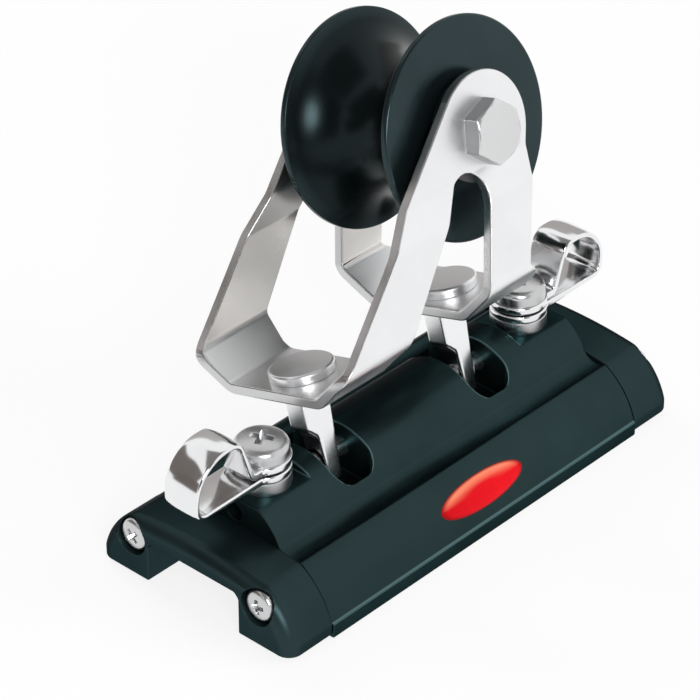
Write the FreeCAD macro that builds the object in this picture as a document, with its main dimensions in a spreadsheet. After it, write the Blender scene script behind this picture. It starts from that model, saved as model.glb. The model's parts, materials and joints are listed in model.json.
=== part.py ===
import FreeCAD, Part
import math
import os
import Sketcher
from FreeCAD import Placement, Rotation, Vector

# A genoa car: an aluminium extrusion that rides a sail track on two circuits of balls, with a
# sheave in a folded stainless cage that leans from side to side on a rod along the ridge.
# Millimetres. +X runs along the track towards the rear, +Y to the far side, +Z up. The origin is
# on the underside, at the middle of the track channel. Pieces that lean are drawn upright about
# the pivot rod, and their placement then leans them onto the stop, towards +Y.

SIZES = {
    # Body extrusion
    "body_length": 102.4,
    "body_half": 28.8,
    "lip_height": 3.6,
    "lip_step": 0.5,
    "shoulder_half": 19.3,
    "shoulder_height": 15.1,
    "shoulder_bulge": 19.0,
    "ridge_half": 13.2,
    "ridge_foot_height": 15.9,
    "ridge_top": 24.8,
    "valley_radius": 6.0,
    # Track channel, open downwards
    "channel_half": 13.5,
    "channel_height": 11.2,
    "channel_corner": 1.2,
    # Ball circuits
    "ball_diameter": 4.76,
    "ball_spacing": 0.15,
    "ball_clearance": 0.15,
    "ball_height": 5.9,
    "ball_proud": 0.8,
    "turn_radius": 3.35,
    # Pivot rod, the slots across the ridge and the lugs' stop
    "pivot_height": 19.0,
    "pivot_radius": 2.0,
    "pivot_clearance": 0.06,
    "rod_fit": 0.02,
    "slot_width": 12.0,
    "slot_half": 11.7,
    "slot_corner": 4.0,
    "slot_floor": 12.9,
    "lean": 16.4,
    "stop_clearance": 0.12,
    # Pads and screws for the control eyes
    "pad_height": 22.8,
    "pad_length": 16.2,
    "clip_inset": 8.7,
    "clip_radius": 3.0,
    "clip_fit": 0.02,
    "clip_hole_clearance": 0.2,
    "clip_end": 14.0,
    "clip_head_radius": 6.2,
    "clip_head_height": 4.2,
    "clip_spacer": 3.2,
    # Control eyes, each one folded strip
    "strip_width": 9.6,
    "strip": 1.8,
    "strip_gap": 0.5,
    "strip_end_radius": 6.6,
    "eye_reach": 25.0,
    "eye_rise": 15.0,
    "eye_neck_reach": 6.9,
    "eye_neck_slope": 72.0,
    "eye_toe_round": 3.6,
    "eye_crown_round": 10.2,
    "eye_back_round": 4.4,
    "strip_bend": 1.0,
    # End caps
    "cap_length": 13.2,
    "cap_inset": 0.3,
    "cap_lift": 1.0,
    "cap_crown": 16.6,
    "cap_round": 3.5,
    "cap_lip_round": 3.0,
    "cap_shoulder_round": 4.0,
    "cap_screw_y": 18.6,
    "cap_screw_z": 10.2,
    "cap_screw_radius": 2.0,
    "cap_screw_fit": 0.02,
    "cap_hole_clearance": 0.15,
    "cap_head_radius": 3.8,
    "cap_head_height": 2.6,
    "cap_head_clearance": 0.45,
    "cap_recess": 3.0,
    "cap_screw_reach": 8.0,
    # Folded cage
    "sheet": 2.5,
    "foot_height": 17.7,
    "foot_flat_half": 13.2,
    "leg_half": 21.7,
    "leg_bend_height": 26.6,
    "joggle_below": 7.9,
    "joggle_rise": 7.0,
    "cheek_half": 19.3,
    "bend_radius": 2.5,
    "front_rake": 42.7,
    "rear_rake": 18.5,
    "head_radius": 13.4,
    "window_x": 15.0,
    "window_below": 11.6,
    "window_radius": 4.9,
    "window_front_rake": 47.9,
    "window_rear_rake": 16.6,
    "strap_flare_height": 21.5,
    "strap_waist_height": 27.0,
    "corner_round": 5.0,
    # Lugs and their rivets
    "foot_x": 23.4,
    "front_slot_x": -23.7,
    "rear_slot_x": 21.8,
    "foot_reach": 9.8,
    "front_lug_x": -24.0,
    "rear_lug_x": 21.6,
    "lug_width": 8.4,
    "lug_neck": 2.6,
    "lug_neck_height": 6.0,
    "lug_taper": 2.0,
    "lug_thickness": 6.0,
    "rivet_radius": 7.5,
    "rivet_height": 2.3,
    "rivet_round": 0.7,
    "rivet_shank": 1.75,
    "rivet_fit": 0.02,
    "rivet_depth": 6.0,
    # Sheave and axle
    "axle_x": 24.2,
    "axle_height": 59.6,
    "sheave_radius": 25.0,
    "groove_radius": 14.0,
    "sheave_half": 16.4,
    "rim_land": 1.3,
    "rim_chamfer": 0.4,
    "hub_half": 18.0,
    "hub_radius": 11.0,
    "bush_radius": 8.0,
    "bush_fit": 0.02,
    "sleeve_radius": 6.0,
    "running_clearance": 0.06,
    "bolt_radius": 4.0,
    "bolt_clearance": 0.05,
    "thrust_washer": 1.0,
    "thrust_washer_radius": 11.5,
    "thrust_gap": 0.15,
    "hex_half": 6.5,
    "hex_turn": 20.0,
    "bolt_head": 4.6,
    "hex_chamfer": 0.9,
    "nut_height": 6.5,
    "bolt_end": 1.6,
}


class Dimension:
    """A size worked out from the sheet: its number now, and the expression that binds it."""

    def __init__(self, value, text):
        self.value = value
        self.text = text

    def __add__(self, other):
        return join(self, "+", other, self.value + number(other))

    def __radd__(self, other):
        return join(other, "+", self, number(other) + self.value)

    def __sub__(self, other):
        return join(self, "-", other, self.value - number(other))

    def __rsub__(self, other):
        return join(other, "-", self, number(other) - self.value)

    def __mul__(self, other):
        return join(self, "*", other, self.value * number(other))

    def __rmul__(self, other):
        return join(other, "*", self, number(other) * self.value)

    def __truediv__(self, other):
        return join(self, "/", other, self.value / number(other))

    def __neg__(self):
        return join(0, "-", self, -self.value)


def number(value):
    return value.value if isinstance(value, Dimension) else float(value)


def text(value):
    return value.text if isinstance(value, Dimension) else repr(value)


def join(left, sign, right, value):
    return Dimension(value, "(%s %s %s)" % (text(left), sign, text(right)))


def sin(angle):
    return Dimension(math.sin(math.radians(number(angle))), "sin(%s)" % text(angle))


def cos(angle):
    return Dimension(math.cos(math.radians(number(angle))), "cos(%s)" % text(angle))


def tan(angle):
    return Dimension(math.tan(math.radians(number(angle))), "tan(%s)" % text(angle))


def slope(rise, run):
    angle = math.degrees(math.atan2(number(rise), number(run)))
    return Dimension(angle, "(atan2(%s; %s) / 1 deg)" % (text(rise), text(run)))


class S:
    """Every size of the sheet by its name."""


doc = FreeCAD.newDocument("genoa_car")
sheet = doc.addObject("Spreadsheet::Sheet", "sizes")
for row, (name, value) in enumerate(SIZES.items(), start=1):
    sheet.set("A%d" % row, name)
    sheet.set("B%d" % row, str(value))
    sheet.setAlias("B%d" % row, name)
    setattr(S, name, Dimension(value, "sizes." + name))
doc.recompute()

SUBPARTS = []


def bind(thing, prop, value):
    """Set a property now, and bind it to the sheet."""
    setattr(thing, prop, number(value))
    if isinstance(value, Dimension):
        thing.setExpression(prop, value.text)


def new_body(label):
    body = doc.addObject("PartDesign::Body", label)
    body.Label = label
    SUBPARTS.append(body)
    return body


def place(body, x, y, z):
    """Move a body to x, y, z."""
    body.Placement = Placement(Vector(number(x), number(y), number(z)), Rotation())
    for axis, value in zip("xyz", (x, y, z)):
        if isinstance(value, Dimension):
            body.setExpression(".Placement.Base." + axis, value.text)


def lean_over(body, x, y, z):
    """Put a body's origin at x, y, z of the upright cage, then lean it about the pivot rod."""
    place(body, x, y * cos(S.lean) + z * sin(S.lean),
          S.pivot_height + z * cos(S.lean) - y * sin(S.lean))
    body.Placement = Placement(body.Placement.Base, Rotation(Vector(-1, 0, 0), S.lean.value))
    body.setExpression(".Placement.Rotation.Angle", S.lean.text)


def new_sketch(body, plane, offset=0):
    """A sketch on one of the body's own planes, moved off it along its normal."""
    sketch = body.newObject("Sketcher::SketchObject", body.Name + "_outline")
    support = [face for face in body.Origin.OriginFeatures if face.Role == plane + "_Plane"]
    sketch.AttachmentSupport = (support[0], "")
    sketch.MapMode = "FlatFace"
    sketch.AttachmentOffset = Placement(Vector(0, 0, number(offset)), Rotation())
    if isinstance(offset, Dimension):
        sketch.setExpression(".AttachmentOffset.Base.z", offset.text)
    return sketch


def hold(sketch, kind, item, end, value):
    """Hold one end of an item at a distance from the origin."""
    if abs(number(value)) < 1e-9:
        axis = -2 if kind == "DistanceX" else -1
        sketch.addConstraint(Sketcher.Constraint("PointOnObject", item, end, axis))
        return
    index = sketch.addConstraint(Sketcher.Constraint(kind, -1, 1, item, end, number(value)))
    if isinstance(value, Dimension):
        sketch.setExpression("Constraints[%d]" % index, value.text)


def pin_down(sketch, item, end, u, v):
    """Hold one end of an item, or its centre, at u, v."""
    hold(sketch, "DistanceX", item, end, u)
    hold(sketch, "DistanceY", item, end, v)


def set_radius(sketch, item, radius):
    index = sketch.addConstraint(Sketcher.Constraint("Radius", item, number(radius)))
    if isinstance(radius, Dimension):
        sketch.setExpression("Constraints[%d]" % index, radius.text)


def arc_between(start, end, radius):
    """An arc of the radius from start to end: a positive radius bulges to the right of the way."""
    along = end - start
    reach = math.sqrt(max(radius * radius - along.Length ** 2 / 4, 0))
    side = Vector(-along.y, along.x, 0).normalize()
    centre = (start + end) / 2 + side * math.copysign(reach, radius)
    return Part.Arc(start, centre - side * radius, end)


def draw(sketch, corners):
    """A closed outline. A corner is (u, v), or (u, v, radius) where an arc leads to the next."""
    points = [Vector(number(c[0]), number(c[1]), 0) for c in corners]
    count = len(corners)
    ends = []
    for i, corner in enumerate(corners):
        start, end = points[i], points[(i + 1) % count]
        if len(corner) == 2:
            item = sketch.addGeometry(Part.LineSegment(start, end), False)
            ends.append((item, 1, 2))
            continue
        radius = corner[2]
        item = sketch.addGeometry(arc_between(start, end, number(radius)), False)
        forward = sketch.getPoint(item, 1).distanceToPoint(start) < 1e-6
        ends.append((item, 1, 2) if forward else (item, 2, 1))
        if start.distanceToPoint(end) < 2 * abs(number(radius)) - 1e-6:
            set_radius(sketch, item, abs_of(radius))
        else:
            hold(sketch, "DistanceY", item, 3, corner[1])
    for i, corner in enumerate(corners):
        item, first, last = ends[i]
        following = ends[(i + 1) % count]
        sketch.addConstraint(Sketcher.Constraint("Coincident", item, last, following[0], following[1]))
        pin_down(sketch, item, first, corner[0], corner[1])


def abs_of(radius):
    return -radius if number(radius) < 0 else radius


def circle(sketch, u, v, radius):
    item = sketch.addGeometry(Part.Circle(Vector(number(u), number(v), 0), Vector(0, 0, 1),
                                          number(radius)), False)
    pin_down(sketch, item, 3, u, v)
    set_radius(sketch, item, radius)


def pad(body, sketch, length, symmetric=True, backwards=False):
    feature = body.newObject("PartDesign::Pad", body.Name + "_pad")
    feature.Profile = sketch
    feature.SideType = "Symmetric" if symmetric else "One side"
    feature.Reversed = backwards
    bind(feature, "Length", length)
    doc.recompute()
    return feature


def cut(body, sketch, length, symmetric=True, backwards=False):
    """A pocket, which has to take something away."""
    before = body.Shape.Volume
    feature = body.newObject("PartDesign::Pocket", body.Name + "_cut")
    feature.Profile = sketch
    feature.SideType = "Symmetric" if symmetric else "One side"
    feature.Reversed = backwards
    bind(feature, "Length", length)
    doc.recompute()
    if body.Shape.Volume > before - 1e-3:
        raise RuntimeError(feature.Name + " cuts nothing")
    return feature


def turn(body, sketch, axis):
    feature = body.newObject("PartDesign::Revolution", body.Name + "_turned")
    feature.Profile = sketch
    feature.ReferenceAxis = (sketch, [axis])
    feature.Angle = 360
    doc.recompute()
    return feature


def groove(body, sketch, axis):
    before = body.Shape.Volume
    feature = body.newObject("PartDesign::Groove", body.Name + "_groove")
    feature.Profile = sketch
    feature.ReferenceAxis = (sketch, [axis])
    feature.Angle = 360
    doc.recompute()
    if body.Shape.Volume > before - 1e-3:
        raise RuntimeError(feature.Name + " cuts nothing")
    return feature


def edges_where(shape, wanted):
    return ["Edge%d" % (i + 1) for i, edge in enumerate(shape.Edges) if wanted(edge)]


def soften(body, kind, prop, size, wanted):
    """Fillet or chamfer the edges that wanted() picks."""
    base = body.Tip
    names = edges_where(base.Shape, wanted)
    if not names:
        raise RuntimeError(body.Name + " has no such edge")
    feature = body.newObject("PartDesign::" + kind, body.Name + "_" + kind.lower())
    feature.Base = (base, names)
    bind(feature, prop, size)
    doc.recompute()
    return feature


def near(a, b, slack=0.02):
    return abs(a - number(b)) < slack


def runs_along_y(edge, x, z):
    """Whether an edge is parallel to Y and passes through x, z."""
    ends = [vertex.Point for vertex in edge.Vertexes]
    return len(ends) == 2 and all(near(p.x, number(x)) and near(p.z, z) for p in ends)


def runs_along_x(edge, y, z):
    """Whether an edge is parallel to X and passes through y, z."""
    ends = [vertex.Point for vertex in edge.Vertexes]
    return len(ends) == 2 and all(near(p.y, number(y)) and near(p.z, z) for p in ends)


# Places that several pieces share
half_length = S.body_length / 2
clip_x = half_length - S.clip_inset
ball_radius = S.ball_diameter / 2
load_y = S.channel_half + ball_radius - S.ball_proud
return_y = load_y + 2 * S.turn_radius
race_radius = ball_radius + S.ball_clearance
foot_top = S.foot_height + S.sheet
eye_seat = S.pad_height + S.clip_spacer
head_seat = eye_seat + 2 * S.strip + S.strip_gap
rod_half = clip_x - S.clip_radius - 0.3
ridge_rise = S.ridge_top - S.ridge_foot_height
ridge_radius = (S.ridge_half * S.ridge_half + ridge_rise * ridge_rise) / (2 * ridge_rise)
cheek_outer = S.cheek_half + S.sheet
cap_half = S.body_half - S.cap_inset
joggle_high = S.axle_height - S.joggle_below
joggle_low = joggle_high - S.joggle_rise
window_height = S.axle_height - S.window_below


def both_sides(right):
    """An outline that is the same on both sides of the middle, from its right half."""
    left = []
    for i in range(len(right) - 1, -1, -1):
        bulge = right[i - 1][2:] if i else ()
        left.append((-right[i][0], right[i][1]) + tuple(bulge))
    return right + left


def make_body():
    body = new_body("car_body")
    section = new_sketch(body, "YZ")
    half = [
        (S.channel_half, S.channel_height - S.channel_corner),
        (S.channel_half, 0),
        (S.body_half, 0),
        (S.body_half, S.lip_height),
        (S.body_half - S.lip_step, S.lip_height, S.shoulder_bulge),
        (S.shoulder_half, S.shoulder_height, -S.valley_radius),
        (S.ridge_half, S.ridge_foot_height, ridge_radius),
    ]
    outline = both_sides([(S.channel_half - S.channel_corner, S.channel_height)] + half)
    draw(section, outline)
    pad(body, section, S.body_length)

    races = new_sketch(body, "YZ")
    for side in (-1, 1):
        circle(races, side * load_y, S.ball_height, race_radius)
        circle(races, side * return_y, S.ball_height, race_radius)
    cut(body, races, S.body_length + 2)

    bore = new_sketch(body, "YZ", -half_length - 1)
    circle(bore, 0, S.pivot_height, S.pivot_radius + S.rod_fit)
    cut(body, bore, half_length + 1 + rod_half + 0.2, symmetric=False, backwards=True)

    slots = new_sketch(body, "XY", S.slot_floor)
    reach = S.slot_width / 2
    across = reach - S.slot_corner
    along = S.slot_half - S.slot_corner
    for x in (S.front_slot_x, S.rear_slot_x):
        draw(slots, [
            (x + reach, -along),
            (x + reach, along, S.slot_corner),
            (x + across, S.slot_half),
            (x - across, S.slot_half, S.slot_corner),
            (x - reach, along),
            (x - reach, -along, S.slot_corner),
            (x - across, -S.slot_half),
            (x + across, -S.slot_half, S.slot_corner),
        ])
    cut(body, slots, S.ridge_top, symmetric=False, backwards=True)

    pads = new_sketch(body, "XY", S.pad_height)
    for side in (-1, 1):
        inner = side * (half_length - S.pad_length)
        outer = side * (half_length + 1)
        draw(pads, [(inner, -S.ridge_half), (outer, -S.ridge_half),
                    (outer, S.ridge_half), (inner, S.ridge_half)])
    cut(body, pads, S.ridge_top, symmetric=False, backwards=True)

    tapped = new_sketch(body, "XY", S.clip_end - 0.5)
    for side in (-1, 1):
        circle(tapped, side * clip_x, 0, S.clip_radius + S.clip_fit)
    cut(body, tapped, S.ridge_top, symmetric=False, backwards=True)

    for side in (-1, 1):
        ends = new_sketch(body, "YZ", side * (half_length - S.cap_screw_reach - 0.5))
        for hand in (-1, 1):
            circle(ends, hand * S.cap_screw_y, S.cap_screw_z, S.cap_screw_radius + S.cap_screw_fit)
        cut(body, ends, S.cap_screw_reach + 1, symmetric=False, backwards=side > 0)


def make_cap(label, side):
    """An end cap: it closes the ball circuits with a half turn on each side of the channel."""
    body = new_body(label)
    section = new_sketch(body, "YZ")
    crown_rise = S.cap_crown - S.shoulder_height
    crown = (S.shoulder_half * S.shoulder_half + crown_rise * crown_rise) / (2 * crown_rise)
    half = [
        (S.channel_half - S.channel_corner, S.channel_height),
        (S.channel_half, S.channel_height - S.channel_corner),
        (S.channel_half, S.cap_lift),
        (cap_half, S.cap_lift),
        (cap_half, S.lip_height, S.shoulder_bulge),
        (S.shoulder_half, S.shoulder_height, crown),
    ]
    draw(section, both_sides(half))
    pad(body, section, S.cap_length, symmetric=False)

    def on_the_end(edge):
        ends = [vertex.Point for vertex in edge.Vertexes]
        outside = all(abs(p.y) > S.channel_half.value + 0.1 for p in ends)
        return outside and all(near(p.x, S.cap_length) and p.z > S.cap_lift.value - 0.1 for p in ends)

    def rounded(edge):
        low = min(vertex.Point.z for vertex in edge.Vertexes)
        high = max(vertex.Point.z for vertex in edge.Vertexes)
        return on_the_end(edge) and not (near(low, S.cap_lift) and near(high, S.cap_lift))

    for radius, y, z in ((S.cap_lip_round, cap_half, S.lip_height),
                         (S.cap_shoulder_round, S.shoulder_half, S.shoulder_height)):
        soften(body, "Fillet", "Radius", radius,
               lambda e: runs_along_x(e, y, z) or runs_along_x(e, -y, z))
    soften(body, "Fillet", "Radius", S.cap_round, rounded)

    for hand in (-1, 1):
        race = new_sketch(body, "YZ")
        circle(race, hand * load_y, S.ball_height, race_radius)
        middle = hand * (load_y + S.turn_radius)
        axis = race.addGeometry(Part.LineSegment(Vector(number(middle), -1, 0),
                                                 Vector(number(middle), 1, 0)), True)
        pin_down(race, axis, 1, middle, -1)
        pin_down(race, axis, 2, middle, 1)
        groove(body, race, "Axis0")

    holes = new_sketch(body, "YZ", -1)
    for hand in (-1, 1):
        circle(holes, hand * S.cap_screw_y, S.cap_screw_z, S.cap_screw_radius + S.cap_hole_clearance)
    cut(body, holes, S.cap_length + 2, symmetric=False, backwards=True)

    recesses = new_sketch(body, "YZ", S.cap_length - S.cap_recess)
    for hand in (-1, 1):
        circle(recesses, hand * S.cap_screw_y, S.cap_screw_z, S.cap_head_radius + S.cap_head_clearance)
    cut(body, recesses, S.cap_recess + 1, symmetric=False, backwards=True)

    place(body, side * half_length, 0, 0)
    if side < 0:
        body.Placement = Placement(body.Placement.Base, Rotation(Vector(0, 0, 1), 180))


def make_ball_circuit(label, side):
    """One endless row of balls: a load run, a return run and a half turn in each cap."""
    run = S.body_length.value
    bend = math.pi * S.turn_radius.value
    whole = 2 * (run + bend)
    count = int(whole // (S.ball_diameter.value + S.ball_spacing.value))
    balls = []
    for i in range(count):
        along = whole * i / count
        x, y = point_of_circuit(along, run, bend)
        centre = Vector(x, side * y, S.ball_height.value)
        balls.append(Part.makeSphere(ball_radius.value, centre))
    row = doc.addObject("Part::Feature", label)
    row.Label = label
    row.Shape = Part.makeCompound(balls)
    row.Placement = Placement()
    SUBPARTS.append(row)


def point_of_circuit(along, run, bend):
    """Where a ball's centre is, so far along the circuit."""
    radius = S.turn_radius.value
    if along < run:
        return along - run / 2, load_y.value
    if along < run + bend:
        angle = (along - run) / radius
        return run / 2 + radius * math.sin(angle), load_y.value + radius * (1 - math.cos(angle))
    if along < 2 * run + bend:
        return run / 2 - (along - run - bend), return_y.value
    angle = (along - 2 * run - bend) / radius
    return -run / 2 - radius * math.sin(angle), return_y.value - radius * (1 - math.cos(angle))


def make_cap_screw(label, side, hand):
    """A pan-head screw along the car, its head in the cap's recess."""
    body = new_body(label)
    profile = new_sketch(body, "XY")
    seat = S.cap_length - S.cap_recess
    crown = S.cap_head_height * 0.45
    draw(profile, [
        (-S.cap_screw_reach, 0),
        (seat + S.cap_head_height, 0),
        (seat + S.cap_head_height, S.cap_head_radius - crown, crown),
        (seat + S.cap_head_height - crown, S.cap_head_radius),
        (seat, S.cap_head_radius),
        (seat, S.cap_screw_radius),
        (-S.cap_screw_reach, S.cap_screw_radius),
    ])
    turn(body, profile, "H_Axis")
    place(body, side * half_length, hand * S.cap_screw_y, S.cap_screw_z)
    if side < 0:
        body.Placement = Placement(body.Placement.Base, Rotation(Vector(0, 0, 1), 180))


def make_pivot_rod():
    body = new_body("pivot_rod")
    section = new_sketch(body, "YZ")
    circle(section, 0, 0, S.pivot_radius)
    pad(body, section, 2 * rod_half)
    place(body, 0, 0, S.pivot_height)


def make_control_eye(label, side):
    """A strip folded on itself: two round ends under the screw, and a loop for the line."""
    body = new_body(label)
    upper = S.strip + S.strip_gap
    top = upper + S.strip
    mitre = S.strip * tan(S.eye_neck_slope / 2)
    neck = S.eye_neck_reach
    back = neck + (S.eye_rise - top) / tan(S.eye_neck_slope)
    toe = (S.eye_reach, 0)
    crown = (S.eye_reach, S.eye_rise)
    inner_toe = (S.eye_reach - S.strip, S.strip)
    inner_crown = (S.eye_reach - S.strip, S.eye_rise - S.strip)
    inner_back = (back + mitre, S.eye_rise - S.strip)
    inner_neck = (neck + mitre, upper)
    profile = new_sketch(body, "XZ")
    draw(profile, [(0, 0), toe, crown, (back, S.eye_rise), (neck, top), (0, top),
                   (0, upper), inner_neck, inner_back, inner_crown, inner_toe, (0, S.strip)])
    pad(body, profile, S.strip_width)

    bends = (
        (toe, S.eye_toe_round),
        (inner_toe, S.eye_toe_round - S.strip),
        (crown, S.eye_crown_round),
        (inner_crown, S.eye_crown_round - S.strip),
        ((back, S.eye_rise), S.eye_back_round),
        (inner_back, S.eye_back_round - S.strip),
        ((neck, top), S.strip_bend),
        (inner_neck, S.strip_bend + S.strip),
    )
    for (x, z), radius in bends:
        soften(body, "Fillet", "Radius", radius, lambda e: runs_along_y(e, x, z))

    for level in (0, upper):
        end = new_sketch(body, "XY", level)
        circle(end, 0, 0, S.strip_end_radius)
        pad(body, end, S.strip, symmetric=False)
    hole = new_sketch(body, "XY", -1)
    circle(hole, 0, 0, S.clip_radius + S.clip_hole_clearance)
    cut(body, hole, top + 2, symmetric=False, backwards=True)
    place(body, side * clip_x, 0, eye_seat)
    if side < 0:
        body.Placement = Placement(body.Placement.Base, Rotation(Vector(0, 0, 1), 180))


def make_clip_screw(label, side):
    """The pan-head screw that holds an eye and bars the pivot rod's way out."""
    body = new_body(label)
    profile = new_sketch(body, "XZ")
    crown = S.clip_head_height * 0.45
    top = head_seat + S.clip_head_height
    draw(profile, [
        (0, S.clip_end),
        (S.clip_radius, S.clip_end),
        (S.clip_radius, head_seat),
        (S.clip_head_radius, head_seat),
        (S.clip_head_radius, top - crown, crown),
        (S.clip_head_radius - crown, top),
        (0, top),
    ])
    turn(body, profile, "V_Axis")
    place(body, side * clip_x, 0, 0)


def make_ring(label, plane, inner, outer, thickness):
    """A washer, bush or sleeve: drawn on a plane, and as thick on one side of it as the other."""
    body = new_body(label)
    section = new_sketch(body, plane)
    circle(section, 0, 0, outer)
    circle(section, 0, 0, inner)
    pad(body, section, thickness)
    return body


def make_lug(label, side, x):
    """A lug: a bar with an eye for the rod. Its square heel meets the slot's floor as it leans."""
    body = new_body(label)
    half = S.lug_thickness / 2
    edge = S.lug_width / 2
    depth = S.pivot_height - S.slot_floor - S.stop_clearance
    heel = (depth - half * sin(S.lean)) / cos(S.lean)
    profile = new_sketch(body, "XZ")
    draw(profile, [
        (-edge, S.foot_height),
        (-edge, S.lug_neck_height + S.lug_neck),
        (S.lug_neck - edge, S.lug_neck_height),
        (S.lug_neck - edge, -heel),
        (edge - S.lug_taper, -heel),
        (edge, S.foot_height),
    ])
    pad(body, profile, S.lug_thickness)

    eye = new_sketch(body, "YZ")
    circle(eye, 0, 0, S.pivot_radius + S.pivot_clearance)
    cut(body, eye, S.lug_width + 2)
    socket = new_sketch(body, "XY", S.foot_height - S.rivet_depth)
    circle(socket, side * S.foot_x - x, 0, S.rivet_shank + S.rivet_fit)
    cut(body, socket, S.rivet_depth + 1, symmetric=False, backwards=True)
    lean_over(body, x, 0, 0)


def make_rivet(label, side):
    """A flat round head on the foot, with a shank through it into the lug."""
    body = new_body(label)
    profile = new_sketch(body, "XZ")
    top = foot_top + S.rivet_height
    bottom = S.foot_height - S.rivet_depth + 0.3
    draw(profile, [
        (0, bottom),
        (S.rivet_shank, bottom),
        (S.rivet_shank, foot_top),
        (S.rivet_radius, foot_top),
        (S.rivet_radius, top - S.rivet_round, S.rivet_round),
        (S.rivet_radius - S.rivet_round, top),
        (0, top),
    ])
    turn(body, profile, "V_Axis")
    lean_over(body, side * S.foot_x, 0, 0)


def make_cage():
    """The cage: one sheet, folded up from two feet into a pair of A-shaped side plates."""
    body = new_body("sheave_cage")
    section = new_sketch(body, "YZ")
    fold = slope(S.leg_bend_height - foot_top, S.leg_half - S.foot_flat_half)
    joggle = slope(S.leg_half - S.cheek_half, joggle_high - joggle_low)
    foot_mitre = S.sheet * tan(fold / 2)
    leg_mitre = S.sheet * tan((90 - fold) / 2)
    joggle_mitre = S.sheet * tan(joggle / 2)
    top = S.axle_height + S.head_radius + 1
    inner = [
        (S.cheek_half, top),
        (S.cheek_half, joggle_high),
        (S.leg_half, joggle_low),
        (S.leg_half, S.leg_bend_height),
        (S.foot_flat_half, foot_top),
    ]
    outer = [
        (S.foot_flat_half + foot_mitre, S.foot_height),
        (S.leg_half + S.sheet, S.leg_bend_height - leg_mitre),
        (S.leg_half + S.sheet, joggle_low + joggle_mitre),
        (S.cheek_half + S.sheet, joggle_high + joggle_mitre),
        (S.cheek_half + S.sheet, top),
    ]
    mirror = [(-y, z) for y, z in reversed(inner)]
    mirror_outer = [(-y, z) for y, z in reversed(outer)]
    draw(section, outer + inner + mirror + mirror_outer)
    pad(body, section, 2 * (S.axle_x + S.head_radius + 4))

    hollow = [inner[4], inner[3], inner[2], outer[3]]
    crest = [outer[0], outer[1], outer[2], inner[1]]

    def on_a_bend(edge, places):
        return any(runs_along_x(edge, hand * y, z) for y, z in places for hand in (-1, 1))

    soften(body, "Fillet", "Radius", S.bend_radius, lambda e: on_a_bend(e, hollow))
    soften(body, "Fillet", "Radius", S.bend_radius + S.sheet, lambda e: on_a_bend(e, crest))

    # Outline of the side plates, seen from the side, and all the way down through the feet
    below = S.foot_height - 3
    reach = S.foot_x + S.foot_reach
    waist = S.strap_waist_height
    front_x = S.axle_x - S.head_radius * sin(S.front_rake)
    front_z = S.axle_height + S.head_radius * cos(S.front_rake)
    rear_x = S.axle_x + S.head_radius * cos(S.rear_rake)
    rear_z = S.axle_height - S.head_radius * sin(S.rear_rake)
    corner_z = front_z - (front_x + reach) * tan(S.front_rake)
    corner_cut = S.corner_round * tan((90 - S.front_rake) / 2)
    outline = [
        (-reach, below),
        (-reach, corner_z - corner_cut, -S.corner_round),
        (corner_cut * cos(S.front_rake) - reach, corner_z + corner_cut * sin(S.front_rake)),
        (front_x, front_z, -S.head_radius),
        (rear_x, rear_z),
        (rear_x - (rear_z - waist) * tan(S.rear_rake), waist),
        (reach, S.strap_flare_height),
        (reach, below),
    ]
    frame = [(-reach - 10, below - 2), (reach + 20, below - 2),
             (reach + 20, top + 2), (-reach - 10, top + 2)]
    trim = new_sketch(body, "XZ")
    draw(trim, frame)
    draw(trim, outline)
    cut(body, trim, 2 * (S.leg_half + S.sheet) + 2)

    inside = S.foot_x - S.foot_reach
    left_x = S.window_x - S.window_radius * sin(S.window_front_rake)
    left_z = window_height + S.window_radius * cos(S.window_front_rake)
    right_x = S.window_x + S.window_radius * cos(S.window_rear_rake)
    right_z = window_height - S.window_radius * sin(S.window_rear_rake)
    window = new_sketch(body, "XZ")
    draw(window, [
        (-inside, below),
        (-inside, S.strap_flare_height),
        (left_x - (left_z - waist) / tan(S.window_front_rake), waist),
        (left_x, left_z, -S.window_radius),
        (right_x, right_z),
        (right_x - (right_z - waist) * tan(S.window_rear_rake), waist),
        (inside, S.strap_flare_height),
        (inside, below),
    ])
    cut(body, window, 2 * (S.leg_half + S.sheet) + 2)

    axle_hole = new_sketch(body, "XZ")
    circle(axle_hole, S.axle_x, S.axle_height, S.bolt_radius + S.bolt_clearance)
    cut(body, axle_hole, 2 * (S.leg_half + S.sheet) + 2)
    rivet_holes = new_sketch(body, "XY", S.foot_height - 1)
    for side in (-1, 1):
        circle(rivet_holes, side * S.foot_x, 0, S.rivet_shank + S.rivet_fit)
    cut(body, rivet_holes, S.sheet + 2, symmetric=False, backwards=True)
    lean_over(body, 0, 0, 0)


def on_the_axle(body, offset=0):
    """Seat a piece on the axle, so far from the middle of the sheave."""
    lean_over(body, S.axle_x, offset * 1.0, S.axle_height)


def make_sheave():
    """An hourglass sheave with flat flanges and a boss on each side."""
    body = new_body("sheave")
    groove_half = S.sheave_half - S.rim_land - S.rim_chamfer
    depth = S.sheave_radius - S.groove_radius
    sweep = (groove_half * groove_half + depth * depth) / (2 * depth)
    bore = S.bush_radius + S.bush_fit
    profile = new_sketch(body, "YZ")
    draw(profile, [
        (-S.hub_half, bore),
        (S.hub_half, bore),
        (S.hub_half, S.hub_radius),
        (S.sheave_half, S.hub_radius),
        (S.sheave_half, S.sheave_radius - S.rim_chamfer),
        (S.sheave_half - S.rim_chamfer, S.sheave_radius),
        (groove_half, S.sheave_radius, -sweep),
        (-groove_half, S.sheave_radius),
        (S.rim_chamfer - S.sheave_half, S.sheave_radius),
        (-S.sheave_half, S.sheave_radius - S.rim_chamfer),
        (-S.sheave_half, S.hub_radius),
        (-S.hub_half, S.hub_radius),
    ])
    turn(body, profile, "H_Axis")
    on_the_axle(body)


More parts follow.
